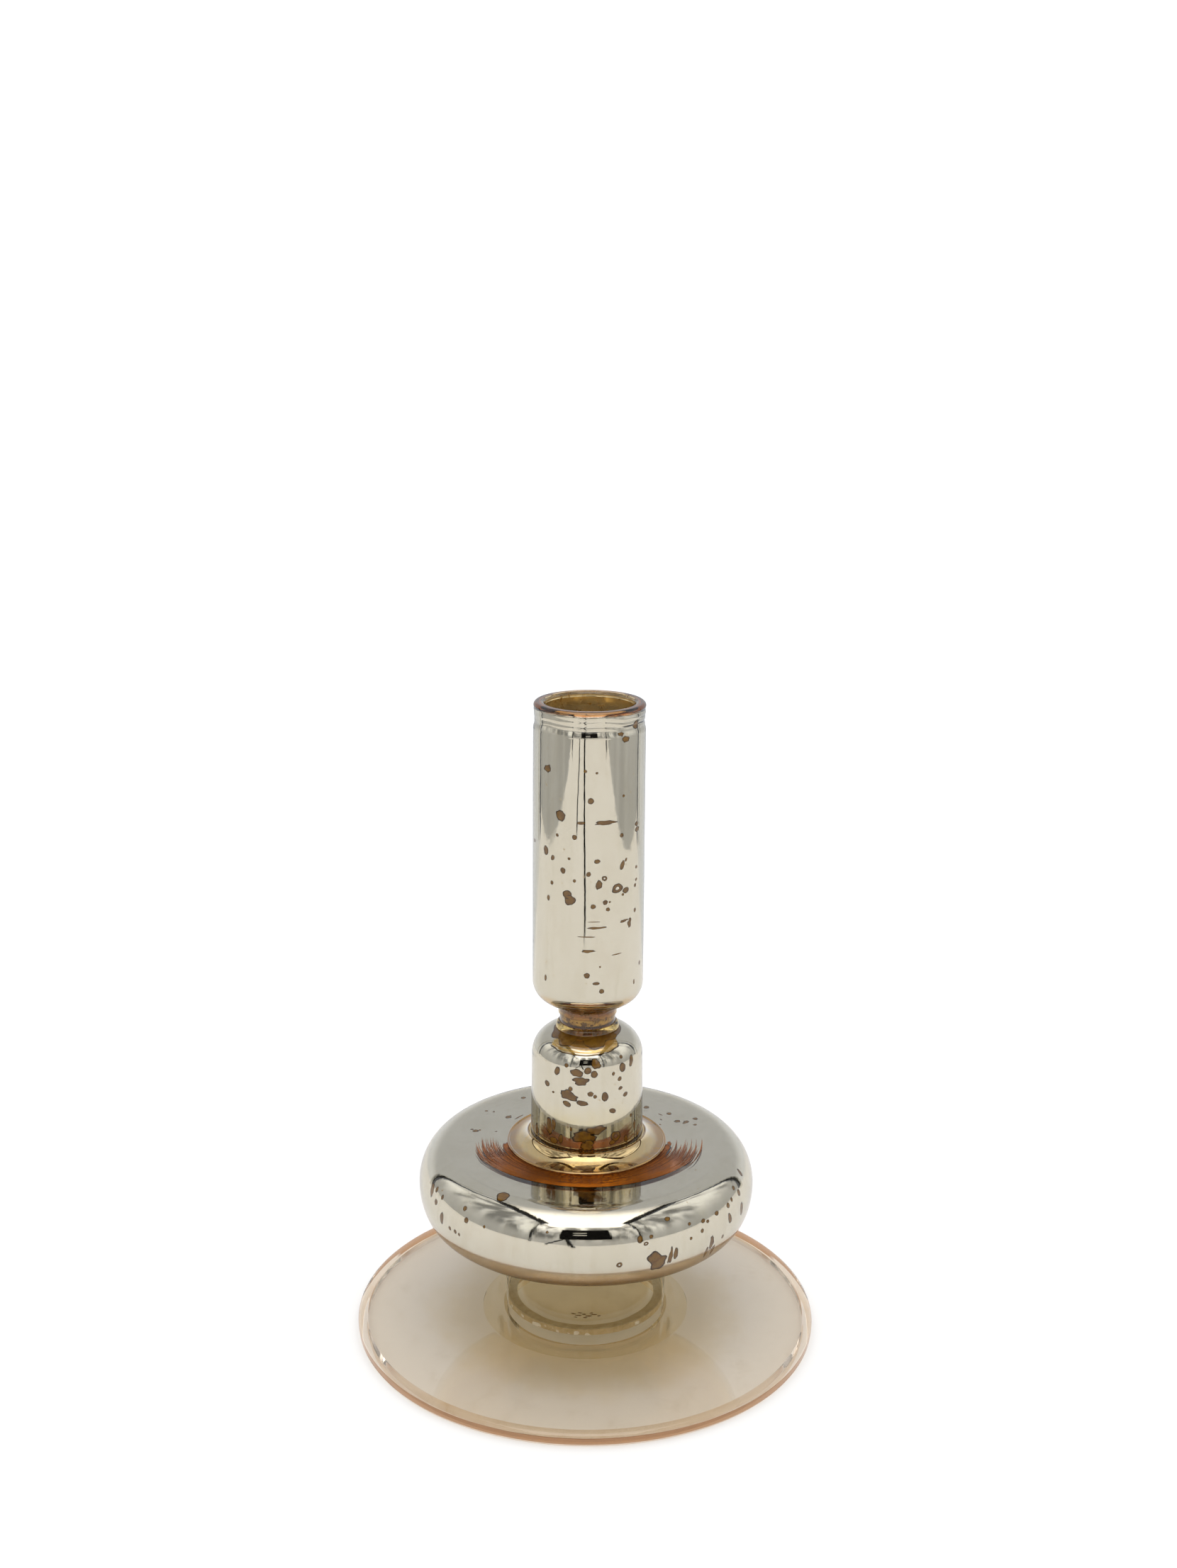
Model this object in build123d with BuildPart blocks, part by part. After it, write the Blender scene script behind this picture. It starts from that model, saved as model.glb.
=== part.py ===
from build123d import *
import os

# A silvered ("mercury") glass candlestick, turned about the Z axis.
# The origin is on the axis, on the plane that the foot stands on.
# All sizes are in millimetres.

# ---- foot: clear plate with a folded rim ----
foot_diameter = 130.3
rim_fold_width = 2.8
rim_fold_height = 3.7
rim_fold_outer_round = 1.3
rim_fold_inner_round = 0.4
plate_thickness = 2.0
plate_edge_lift = 0.7        # underside of the plate above the table, at the rim
plate_centre_lift = 1.4      # the same, at the stem

# ---- stem: hollow and clear, open below, with the seal inside ----
stem_bore_diameter = 44.4
stem_wall = 1.9
stem_flare_width = 5.3       # the stem spreads by this much where it meets the plate
stem_flare_height = 7.5
stem_flare_land = 0.5        # thickness left at the flare's thin edges
seal_thickness = 1.8
seal_height = 8.2            # underside of the seal above the table
seal_clearance = 0.15        # between the seal's edge and the stem's bore
cement_width = 2.6           # under the seal
cement_foot_width = 0.9      # at the lower edge of the cement
cement_height = 1.8

# ---- bulb: a wide flattened bubble ----
bulb_diameter = 94.3
bulb_underside = 32.85       # above the table
bulb_shoulder_width = 8.85   # the upper quarter of the bulb's edge
bulb_shoulder_height = 11.25
bulb_belly_width = 6.0       # the lower quarter
bulb_belly_height = 10.95

# ---- drum: the domed cylinder on the bulb ----
drum_diameter = 31.5         # at its foot
drum_taper = 0.35            # the radius lost on the way up to the dome
drum_height = 34.7           # from the bulb's top to the top of the dome
dome_width = 8.35
dome_height = 8.0
base_ring_width = 6.7        # weld ring at the drum's foot
base_ring_height = 3.4
ring_land = 0.4              # thickness left at the weld rings' thin edges

# ---- neck ----
neck_diameter = 15.4
neck_bore_diameter = 12.2
neck_height = 7.55           # from the dome to the underside of the candle tube
neck_ring_width = 1.4        # weld ring under the candle tube
neck_ring_height = 3.3
dome_ring_width = 1.1        # weld ring where the neck meets the dome
dome_ring_height = 1.5

# ---- candle tube: double walled ----
tube_diameter = 30.0         # at the mouth
tube_spread = 0.28           # the radius gained on the way down
tube_height = 84.35
tube_corner = 6.2
candle_bore_diameter = 24.0  # takes a 22 mm taper candle
candle_bore_depth = 32.0
cup_corner = 4.0
lip_height = 1.4
lip_flat = 0.4               # width left flat on top of the rounded lip

# ---- wall thicknesses ----
vessel_wall = 1.6            # drum and bulb
tube_wall = 1.2
cup_wall = 1.1
silvering = 0.2

# ---- heights and radii that follow ----
foot_radius = foot_diameter / 2
plate_radius = foot_radius - rim_fold_width
plate_centre_top = plate_centre_lift + plate_thickness
stem_bore = stem_bore_diameter / 2
stem_radius = stem_bore + stem_wall
bulb_radius = bulb_diameter / 2
bulb_waist = bulb_underside + bulb_belly_height
bulb_top = bulb_waist + bulb_shoulder_height
drum_radius = drum_diameter / 2
drum_bore = drum_radius - vessel_wall
dome_top = bulb_top + drum_height
neck_radius = neck_diameter / 2
neck_bore = neck_bore_diameter / 2
tube_underside = dome_top + neck_height
mouth = tube_underside + tube_height
tube_mouth_radius = tube_diameter / 2
tube_foot_radius = tube_mouth_radius + tube_spread
lip_underside = mouth - lip_height
candle_bore = candle_bore_diameter / 2
cup_floor = mouth - candle_bore_depth

os.makedirs("parts", exist_ok=True)


# Each edge function draws half of an outline, from the top down, set inwards
# from the outer surface by a depth, and returns its two ends. A depth of 0 is
# the outer surface.

def tube_edge(depth):
    """Candle tube: straight wall, rounded corner and floor, down to the neck's bore."""
    start = (tube_mouth_radius - depth, lip_underside)
    corner = (tube_foot_radius - depth, tube_underside + depth)
    end = (neck_bore, tube_underside + depth)
    FilletPolyline(start, corner, end, radius=tube_corner - depth)
    return start, end


def cup_edge(depth):
    """Candle cup: straight wall, rounded corner and closed floor; depth counts from the bore."""
    start = (candle_bore + depth, lip_underside)
    corner = (candle_bore + depth, cup_floor - depth)
    end = (0, cup_floor - depth)
    FilletPolyline(start, corner, end, radius=cup_corner + depth)
    return start, end


def drum_edge(depth):
    """Drum: flat land at the neck, quarter-round dome, then a slightly tapered wall."""
    dome_radius = drum_radius - drum_taper
    dome_centre = (dome_radius - dome_width, dome_top - dome_height)
    start = (neck_bore, dome_top - depth)
    shoulder = (dome_centre[0], dome_top - depth)
    end = (drum_radius - depth, bulb_top)
    Line(start, shoulder)
    EllipticalCenterArc(
        dome_centre, dome_width - depth, dome_height - depth, start_angle=0, arc_size=90
    )
    Line((dome_radius - depth, dome_centre[1]), end)
    return start, end


def bulb_edge(depth):
    """Bulb: flat top from the drum outwards, two quarter rounds, flat underside."""
    shoulder_centre = (bulb_radius - bulb_shoulder_width, bulb_waist)
    belly_centre = (bulb_radius - bulb_belly_width, bulb_waist)
    shoulder = (shoulder_centre[0], bulb_top - depth)
    belly = (belly_centre[0], bulb_underside + depth)
    start = (drum_bore, bulb_top - depth)
    end = (stem_bore, bulb_underside + depth)
    Line(start, shoulder)
    EllipticalCenterArc(
        shoulder_centre,
        bulb_shoulder_width - depth,
        bulb_shoulder_height - depth,
        start_angle=0,
        arc_size=90,
    )
    EllipticalCenterArc(
        belly_centre,
        bulb_belly_width - depth,
        bulb_belly_height - depth,
        start_angle=270,
        arc_size=90,
    )
    Line(belly, end)
    return start, end


def layer(edge, outer, inner):
    """Closed outline of the layer of a wall between two depths."""
    outer_start, outer_end = edge(outer)
    inner_start, inner_end = edge(inner)
    Line(outer_start, inner_start)
    Line(outer_end, inner_end)


# ---- foot ----

# Clear plate, a little higher at the stem than at the rim
with BuildPart() as foot_plate:
    with BuildSketch(Plane.XZ):
        with BuildLine():
            flare_edge = stem_radius + stem_flare_width
            Polyline(
                (stem_bore, plate_centre_lift),
                (flare_edge, plate_centre_lift),
                (plate_radius, plate_edge_lift),
                (plate_radius, plate_edge_lift + plate_thickness),
                (flare_edge, plate_centre_top),
                (stem_bore, plate_centre_top),
                close=True,
            )
        make_face()
    revolve(axis=Axis.Z)
foot_plate.part.label = "foot_plate"

# Folded rim that the foot stands on
with BuildPart() as foot_rim:
    with BuildSketch(Plane.XZ):
        with BuildLine():
            FilletPolyline(
                (plate_radius, 0),
                (foot_radius, 0),
                (foot_radius, rim_fold_height),
                (plate_radius, rim_fold_height),
                radius=(
                    rim_fold_inner_round,
                    rim_fold_outer_round,
                    rim_fold_outer_round,
                    rim_fold_inner_round,
                ),
                close=True,
            )
        make_face()
    revolve(axis=Axis.Z)
foot_rim.part.label = "foot_rim"

# ---- stem and its seal ----

# Hollow stem from the bulb's underside to the plate
with BuildPart() as stem:
    with BuildSketch(Plane.XZ):
        with BuildLine():
            flare_top = (stem_radius, plate_centre_top + stem_flare_height)
            flare_foot = (flare_edge, plate_centre_top + stem_flare_land)
            Polyline(flare_top, (stem_radius, bulb_underside), (stem_bore, bulb_underside))
            Polyline((stem_bore, bulb_underside), (stem_bore, plate_centre_top))
            Polyline((stem_bore, plate_centre_top), (flare_edge, plate_centre_top), flare_foot)
            EllipticalCenterArc(
                (flare_edge, flare_top[1]),
                stem_flare_width,
                stem_flare_height - stem_flare_land,
                start_angle=180,
                arc_size=90,
            )
        make_face()
    revolve(axis=Axis.Z)
stem.part.label = "stem"

# Disc that closes the silvered cavity, resting on its ring of cement
with BuildPart() as seal_disc:
    with BuildSketch(Plane.XY.offset(seal_height)):
        Circle(stem_bore - seal_clearance)
    extrude(amount=seal_thickness)
seal_disc.part.label = "seal_disc"

with BuildPart() as seal_cement:
    with BuildSketch(Plane.XZ):
        with BuildLine():
            Polyline(
                (stem_bore - cement_width, seal_height),
                (stem_bore, seal_height),
                (stem_bore, seal_height - cement_height),
                (stem_bore - cement_foot_width, seal_height - cement_height),
                close=True,
            )
        make_face()
    revolve(axis=Axis.Z)
seal_cement.part.label = "seal_cement"

# ---- bulb ----

with BuildPart() as bulb:
    with BuildSketch(Plane.XZ):
        with BuildLine():
            layer(bulb_edge, 0, vessel_wall)
        make_face()
    revolve(axis=Axis.Z)
bulb.part.label = "bulb"

with BuildPart() as bulb_silvering:
    with BuildSketch(Plane.XZ):
        with BuildLine():
            layer(bulb_edge, vessel_wall, vessel_wall + silvering)
        make_face()
    revolve(axis=Axis.Z)
bulb_silvering.part.label = "bulb_silvering"

# ---- drum ----

with BuildPart() as drum:
    with BuildSketch(Plane.XZ):
        with BuildLine():
            layer(drum_edge, 0, vessel_wall)
        make_face()
    revolve(axis=Axis.Z)
drum.part.label = "drum"

with BuildPart() as drum_silvering:
    with BuildSketch(Plane.XZ):
        with BuildLine():
            layer(drum_edge, vessel_wall, vessel_wall + silvering)
        make_face()
    revolve(axis=Axis.Z)
drum_silvering.part.label = "drum_silvering"

# Weld ring in the corner between the drum and the bulb, hollow-faced
with BuildPart() as base_ring:
    with BuildSketch(Plane.XZ):
        with BuildLine():
            ring_edge = drum_radius + base_ring_width
            ring_top = bulb_top + base_ring_height
            Polyline(
                (drum_radius + ring_land, ring_top),
                (drum_radius, ring_top),
                (drum_radius, bulb_top),
                (ring_edge, bulb_top),
                (ring_edge, bulb_top + ring_land),
            )
            EllipticalCenterArc(
                (ring_edge, ring_top),
                base_ring_width - ring_land,
                base_ring_height - ring_land,
                start_angle=180,
                arc_size=90,
            )
        make_face()
    revolve(axis=Axis.Z)
base_ring.part.label = "base_ring"

# ---- neck ----

with BuildPart() as neck:
    with BuildSketch(Plane.XY.offset(dome_top)):
        Circle(neck_radius)
        Circle(neck_bore, mode=Mode.SUBTRACT)
    extrude(amount=neck_height)
neck.part.label = "neck"

# The lining runs through the dome's and the tube floor's holes too
with BuildPart() as neck_silvering:
    with BuildSketch(Plane.XY.offset(dome_top - vessel_wall)):
        Circle(neck_bore)
        Circle(neck_bore - silvering, mode=Mode.SUBTRACT)
    extrude(amount=vessel_wall + neck_height + tube_wall)
neck_silvering.part.label = "neck_silvering"

# Weld ring under the candle tube, hollow-faced
with BuildPart() as neck_ring:
    with BuildSketch(Plane.XZ):
        with BuildLine():
            neck_ring_edge = neck_radius + neck_ring_width
            neck_ring_foot = tube_underside - neck_ring_height
            Polyline(
                (neck_ring_edge, tube_underside - ring_land),
                (neck_ring_edge, tube_underside),
                (neck_radius, tube_underside),
                (neck_radius, neck_ring_foot),
                (neck_radius + ring_land, neck_ring_foot),
            )
            EllipticalCenterArc(
                (neck_ring_edge, neck_ring_foot),
                neck_ring_width - ring_land,
                neck_ring_height - ring_land,
                start_angle=90,
                arc_size=90,
            )
        make_face()
    revolve(axis=Axis.Z)
neck_ring.part.label = "neck_ring"

# Half-round weld ring where the neck stands on the dome
with BuildPart() as dome_ring:
    with BuildSketch(Plane.XZ):
        with BuildLine():
            EllipticalCenterArc(
                (neck_radius, dome_top),
                dome_ring_width,
                dome_ring_height,
                start_angle=0,
                arc_size=90,
            )
            Polyline(
                (neck_radius, dome_top + dome_ring_height),
                (neck_radius, dome_top),
                (neck_radius + dome_ring_width, dome_top),
            )
        make_face()
    revolve(axis=Axis.Z)
dome_ring.part.label = "dome_ring"

# ---- candle tube ----

with BuildPart() as candle_tube:
    with BuildSketch(Plane.XZ):
        with BuildLine():
            layer(tube_edge, 0, tube_wall)
        make_face()
    revolve(axis=Axis.Z)
candle_tube.part.label = "candle_tube"

with BuildPart() as tube_silvering:
    with BuildSketch(Plane.XZ):
        with BuildLine():
            layer(tube_edge, tube_wall, tube_wall + silvering)
        make_face()
    revolve(axis=Axis.Z)
tube_silvering.part.label = "tube_silvering"

with BuildPart() as candle_cup:
    with BuildSketch(Plane.XZ):
        with BuildLine():
            layer(cup_edge, 0, cup_wall)
        make_face()
    revolve(axis=Axis.Z)
candle_cup.part.label = "candle_cup"

with BuildPart() as cup_silvering:
    with BuildSketch(Plane.XZ):
        with BuildLine():
            layer(cup_edge, cup_wall, cup_wall + silvering)
        make_face()
    revolve(axis=Axis.Z)
cup_silvering.part.label = "cup_silvering"

# Fused lip that joins the two walls, rounded over its whole width
with BuildPart() as mouth_lip:
    with BuildSketch(Plane.XZ):
        with BuildLine():
            lip_width = tube_mouth_radius - candle_bore
            lip_round = min((lip_width - lip_flat) / 2, lip_height - lip_flat)
            FilletPolyline(
                (candle_bore, lip_underside),
                (candle_bore, mouth),
                (tube_mouth_radius, mouth),
                (tube_mouth_radius, lip_underside),
                radius=lip_round,
            )
            Line((tube_mouth_radius, lip_underside), (candle_bore, lip_underside))
        make_face()
    revolve(axis=Axis.Z)
mouth_lip.part.label = "mouth_lip"

for piece in (
    foot_plate,
    foot_rim,
    stem,
    seal_disc,
    seal_cement,
    bulb,
    bulb_silvering,
    base_ring,
    drum,
    drum_silvering,
    neck,
    neck_silvering,
    neck_ring,
    dome_ring,
    candle_tube,
    tube_silvering,
    candle_cup,
    cup_silvering,
    mouth_lip,
):
    export_step(piece.part, f"parts/{piece.part.label}.step")
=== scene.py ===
import bpy
import bmesh
import math
import random
from mathutils import Matrix, Vector, noise


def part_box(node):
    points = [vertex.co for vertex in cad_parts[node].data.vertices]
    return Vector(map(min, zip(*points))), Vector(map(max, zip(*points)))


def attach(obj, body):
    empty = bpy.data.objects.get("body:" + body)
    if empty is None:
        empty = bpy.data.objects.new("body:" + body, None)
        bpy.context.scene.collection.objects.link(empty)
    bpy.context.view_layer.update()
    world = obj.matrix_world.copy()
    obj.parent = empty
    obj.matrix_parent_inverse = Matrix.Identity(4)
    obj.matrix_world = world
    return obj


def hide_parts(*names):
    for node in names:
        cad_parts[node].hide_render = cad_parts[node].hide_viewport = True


# A silvered-glass candlestick. Every vessel is a clear blown wall with a silver
# lining behind it, and the lining has gone brown in spots.
# Outlines are lists of (radius, height) points in metres, turned about the Z axis.

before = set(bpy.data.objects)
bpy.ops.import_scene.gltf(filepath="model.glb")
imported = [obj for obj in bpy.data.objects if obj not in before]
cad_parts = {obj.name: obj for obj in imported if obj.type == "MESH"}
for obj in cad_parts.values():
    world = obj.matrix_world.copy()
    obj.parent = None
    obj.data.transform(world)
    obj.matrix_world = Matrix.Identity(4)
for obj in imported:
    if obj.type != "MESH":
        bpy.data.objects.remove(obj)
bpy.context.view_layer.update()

MM = 0.001
random.seed(11)
noise.seed_set(11)


def span(node):
    """Largest radius, foot and top height of a turned node."""
    low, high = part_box(node)
    return high.x, low.z, high.z


# ---- sizes that the frame gives ----
foot_r, foot_floor, rim_top = span("foot_rim")
plate_r, plate_low, plate_top = span("foot_plate")
flare_r, stem_foot, stem_top = span("stem")
seal_r, seal_low, seal_top = span("seal_disc")
cement_r, cement_low, cement_top = span("seal_cement")
bulb_r, bulb_low, bulb_top = span("bulb")
drum_r, drum_foot, dome_top = span("drum")
base_ring_r, base_ring_low, base_ring_top = span("base_ring")
neck_r, neck_low, neck_top = span("neck")
lining_r, lining_low, lining_top = span("neck_silvering")
neck_ring_r, neck_ring_low, neck_ring_top = span("neck_ring")
dome_ring_r, dome_ring_low, dome_ring_top = span("dome_ring")
tube_r, lip_low, mouth = span("mouth_lip")
cup_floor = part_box("candle_cup")[0].z

# ---- sizes that this file names ----
bore_r = 12.0 * MM            # the candle's bore
stem_bore_r = 22.2 * MM
stem_r = 24.1 * MM
stem_flare = 7.5 * MM
flare_land = 0.5 * MM
plate_thick = 2.0 * MM
cement_wide = 2.6 * MM
cement_toe = 0.9 * MM
rim_round = 1.3 * MM
rim_crease = 0.4 * MM
lip_round = 1.0 * MM
vessel_wall = 1.6 * MM
tube_wall = 1.2 * MM
cup_wall = 1.1 * MM
film_thick = 0.2 * MM
shoulder_wide = 8.85 * MM     # the bulb's upper quarter
belly_wide = 6.0 * MM         # the bulb's lower quarter
bulb_waist = bulb_low + 10.95 * MM
drum_taper = 0.35 * MM
dome_wide = 8.35 * MM
dome_high = 8.0 * MM
tube_spread = 0.28 * MM
tube_corner = 6.2 * MM
cup_corner = 4.0 * MM
ring_land = 0.4 * MM
joint_gap = 0.03 * MM         # left between two pieces of glass
film_bite = 0.02 * MM         # the lining sits this far inside its glass
film_drop = 0.5 * MM          # the linings of tube and cup end this far under the mouth
spot_lift = 0.03 * MM         # a spot stands this far above the lining
spot_thick = 0.06 * MM
drum_bore_r = drum_r - vessel_wall
neck_bore_r = lining_r
tube_floor = neck_top

ROUND = 192                   # steps round a vessel
FOOT_ROUND = 256
ARC_STEPS = 20
RUN_STEP = 2.5 * MM


# ---- outlines ----

def rounded(corners, radii, steps=ARC_STEPS):
    """Line through the corners, each inner corner rounded to its own radius."""
    points = [Vector(c) for c in corners]
    line = [points[0]]
    for before, corner, after, radius in zip(points, points[1:], points[2:], radii):
        into = (before - corner).normalized()
        out = (after - corner).normalized()
        half = into.angle(out) / 2
        centre = corner + (into + out).normalized() * radius / math.sin(half)
        start = corner + into * radius / math.tan(half) - centre
        turn = start.angle_signed(corner + out * radius / math.tan(half) - centre)
        for i in range(steps + 1):
            angle = -turn * i / steps
            line.append(centre + Matrix.Rotation(angle, 2) @ start)
    line.append(points[-1])
    return line


def quarter(centre, wide, high, first, last, steps=ARC_STEPS):
    """Part of an ellipse between two angles in degrees."""
    line = []
    for i in range(steps + 1):
        angle = math.radians(first + (last - first) * i / steps)
        line.append(Vector((centre[0] + wide * math.cos(angle), centre[1] + high * math.sin(angle))))
    return line


def even(line, step=RUN_STEP):
    """The same line with its long runs divided."""
    line = [Vector(point) for point in line]
    out = [line[0]]
    for a, b in zip(line, line[1:]):
        if (b - a).length < 1e-7:
            continue
        parts = max(1, math.ceil((b - a).length / step))
        out.extend(a.lerp(b, i / parts) for i in range(1, parts + 1))
    return out


def closed(line, step=RUN_STEP):
    """The same line, led back to its start and with its long runs divided."""
    return even(line + line[:1], step)[:-1]


def tube_edge(depth, top=None):
    """Candle tube's outline from its top down to the neck's bore, set in by a depth."""
    top = lip_low if top is None else top
    floor = tube_floor + depth
    corners = [(tube_r - depth, top), (tube_r + tube_spread - depth, floor), (neck_bore_r, floor)]
    return rounded(corners, [tube_corner - depth])


def cup_edge(depth, top=None):
    """Candle cup's outline from its top down to the axis; depth counts from the bore."""
    top = lip_low if top is None else top
    floor = cup_floor + cup_wall - depth
    return rounded([(bore_r + depth, top), (bore_r + depth, floor), (0, floor)], [cup_corner + depth])


def drum_edge(depth):
    """Drum's outline from the neck's bore over the dome and down to the bulb."""
    dome_r = drum_r - drum_taper
    centre = (dome_r - dome_wide, dome_top - dome_high)
    dome = quarter(centre, dome_wide - depth, dome_high - depth, 90, 0)
    return [(neck_bore_r, dome_top - depth), *dome, (drum_r - depth, drum_foot + joint_gap)]


def bulb_edge(depth):
    """Bulb's outline from the drum's bore out, round the edge and in to the stem."""
    centre = (bulb_r - shoulder_wide, bulb_waist)
    shoulder = quarter(centre, shoulder_wide - depth, bulb_top - bulb_waist - depth, 90, 0)
    centre = (bulb_r - belly_wide, bulb_waist)
    belly = quarter(centre, belly_wide - depth, bulb_waist - bulb_low - depth, 0, -90)
    return [(drum_bore_r, bulb_top - depth), *shoulder, *belly[1:], (stem_bore_r, bulb_low + depth)]


def wall(edge, outer, inner):
    """Closed outline of the part of a wall between two depths."""
    return even(edge(outer)) + even(edge(inner))[::-1]


# ---- turned meshes ----

def fade(low, high, value):
    """0 below low, 1 above high, smooth between."""
    t = min(1.0, max(0.0, (value - low) / (high - low)))
    return t * t * (3 - 2 * t)


SWELL = 0.13 * MM             # how far the blown walls wander
SWELL_LENGTH = 34 * MM
SWELL_START = Vector((3.1, 7.7, 1.9))
RIPPLE = 0.085 * MM           # turning marks under the lip
RIPPLE_PITCH = 1.45 * MM
GROOVE = 0.3 * MM             # the tube draws in a little below the lip
MARK_LENGTH = 9 * MM          # how far round the tube a turning mark keeps its height
CUP_CLEAR = 13 * MM           # inside this radius lies the cup, which has no marks
ripple_foot = mouth - 7.6 * MM


def swell(point):
    """How far the blown wall wanders at a point: nowhere at the foot and the mouth."""
    held = fade(12 * MM, 30 * MM, point.z) * (1 - fade(mouth - 5 * MM, mouth - 1 * MM, point.z))
    drift = noise.noise_vector(point / SWELL_LENGTH + SWELL_START)
    return Vector((drift.x, drift.y, drift.z * 0.5)) * SWELL * held


def drawn_in(height, around):
    """How far the tube draws in at a height below the lip; around varies it round the tube."""
    rise = height + 0.5 * MM * around
    shoulder = fade(mouth - 7.3 * MM, mouth - 5.5 * MM, rise)
    recovery = fade(mouth - 5.2 * MM, mouth - 2 * MM, rise)
    groove = GROOVE * shoulder * (1 - 0.8 * recovery)
    wave = math.sin(2 * math.pi * rise / RIPPLE_PITCH + 3.0 * around)
    slow = math.sin(2 * math.pi * rise / (2.3 * RIPPLE_PITCH) + 5.0 * around)
    marks = RIPPLE * fade(mouth - 6 * MM, mouth - 5 * MM, height)
    marks *= (1.6 + wave + 0.6 * slow) * (0.7 + 0.6 * around) / 2
    return (groove + marks) * (1 - fade(mouth - 1.5 * MM, mouth - 0.9 * MM, height))


def blown(point):
    """Where a point of the turned shape lies on the slightly uneven blown one."""
    moved = point + swell(point)
    flat = Vector((point.x, point.y, 0))
    if point.z > ripple_foot and flat.length > CUP_CLEAR:
        around = noise.noise(flat / MARK_LENGTH + Vector((0, 0, 4.4)))
        moved -= flat.normalized() * drawn_in(point.z, around)
    return moved


def new_object(name, data):
    """A new object in the scene."""
    made = bpy.data.objects.new(name, data)
    bpy.context.scene.collection.objects.link(made)
    return made


def mesh_object(name, verts, faces, sharp=35):
    """A smooth-shaded closed mesh with outward faces and edges kept sharp from an angle in degrees."""
    mesh = bpy.data.meshes.new(name)
    mesh.from_pydata(verts, [], faces)
    bm = bmesh.new()
    bm.from_mesh(mesh)
    bmesh.ops.remove_doubles(bm, verts=bm.verts, dist=1e-8)
    bmesh.ops.recalc_face_normals(bm, faces=bm.faces)
    bm.to_mesh(mesh)
    bm.free()
    mesh.shade_smooth()
    mesh.set_sharp_from_angle(angle=math.radians(sharp))
    return new_object(name, mesh)


def lathe(name, outline, around=ROUND, shape=blown):
    """Closed outline turned about the axis; points on the axis become poles."""
    rows = []
    verts = []
    for radius, height in outline:
        if radius < 1e-7:
            rows.append([len(verts)] * around)
            verts.append(shape(Vector((0, 0, height))))
            continue
        rows.append(list(range(len(verts), len(verts) + around)))
        for i in range(around):
            angle = 2 * math.pi * i / around
            verts.append(shape(Vector((radius * math.cos(angle), radius * math.sin(angle), height))))
    faces = []
    for upper, lower in zip(rows, rows[1:] + rows[:1]):
        for i in range(around):
            j = (i + 1) % around
            face = list(dict.fromkeys((upper[i], upper[j], lower[j], lower[i])))
            if len(face) > 2:
                faces.append(face)
    return mesh_object(name, verts, faces)


def place(piece, slot, material, *nodes):
    """Gives a piece its material, its body and the CAD nodes that it stands for."""
    piece.data.materials.clear()
    piece.data.materials.append(material)
    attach(piece, "root")
    if nodes:
        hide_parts(*nodes)


def turned(name, outline, slot, finish, around=ROUND, shape=blown):
    """A piece of glass or lining that stands for the CAD node of its own name."""
    place(lathe(name, outline, around, shape), slot, finish, name)


# ---- shader helpers ----

COLOUR = "NodeSocketColor"
NUMBER = "NodeSocketFloat"


def new_group(name, inputs, outputs):
    """Empty shader group; inputs gives each input's default, and an output named Color is a colour."""
    group = bpy.data.node_groups.new(name, "ShaderNodeTree")
    for label, value in inputs.items():
        kind = COLOUR if isinstance(value, tuple) else NUMBER
        socket = group.interface.new_socket(label, in_out="INPUT", socket_type=kind)
        socket.default_value = value
    for label in outputs:
        kind = COLOUR if label == "Color" else NUMBER
        group.interface.new_socket(label, in_out="OUTPUT", socket_type=kind)
    return group, group.nodes.new("NodeGroupInput"), group.nodes.new("NodeGroupOutput")


def texture(tree, scale, detail=3.0, rough=0.55, stretch=(1, 1, 1)):
    """Noise in the piece's own metres."""
    coords = tree.nodes.new("ShaderNodeTexCoord")
    mapping = tree.nodes.new("ShaderNodeMapping")
    mapping.inputs["Scale"].default_value = stretch
    grain = tree.nodes.new("ShaderNodeTexNoise")
    grain.inputs["Scale"].default_value = scale
    grain.inputs["Detail"].default_value = detail
    grain.inputs["Roughness"].default_value = rough
    tree.links.new(coords.outputs["Object"], mapping.inputs["Vector"])
    tree.links.new(mapping.outputs["Vector"], grain.inputs["Vector"])
    return grain.outputs["Fac"]


def math_node(tree, operation, a, b):
    """One maths node; a and b are sockets or numbers."""
    node = tree.nodes.new("ShaderNodeMath")
    node.operation = operation
    for socket, value in zip(node.inputs, (a, b)):
        if isinstance(value, (int, float)):
            socket.default_value = value
        else:
            tree.links.new(value, socket)
    return node.outputs[0]


def times(tree, a, b):
    return math_node(tree, "MULTIPLY", a, b)


def plus(tree, a, b):
    return math_node(tree, "ADD", a, b)


def ramp(tree, value, low, high, to_low=0.0, to_high=1.0):
    """Smooth map of a value from low..high to to_low..to_high."""
    node = tree.nodes.new("ShaderNodeMapRange")
    node.interpolation_type = "SMOOTHSTEP"
    for label, number in zip(("From Min", "From Max", "To Min", "To Max"), (low, high, to_low, to_high)):
        node.inputs[label].default_value = number
    tree.links.new(value, node.inputs["Value"])
    return node.outputs["Result"]


def mix_colour(tree, factor, a, b):
    """Mix of two colours; each is a socket or a tuple."""
    node = tree.nodes.new("ShaderNodeMix")
    node.data_type = "RGBA"
    tree.links.new(factor, node.inputs["Factor"])
    for socket, value in ((node.inputs[6], a), (node.inputs[7], b)):
        if isinstance(value, tuple):
            socket.default_value = (*value, 1)
        else:
            tree.links.new(value, socket)
    return node.outputs[2]


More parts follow.
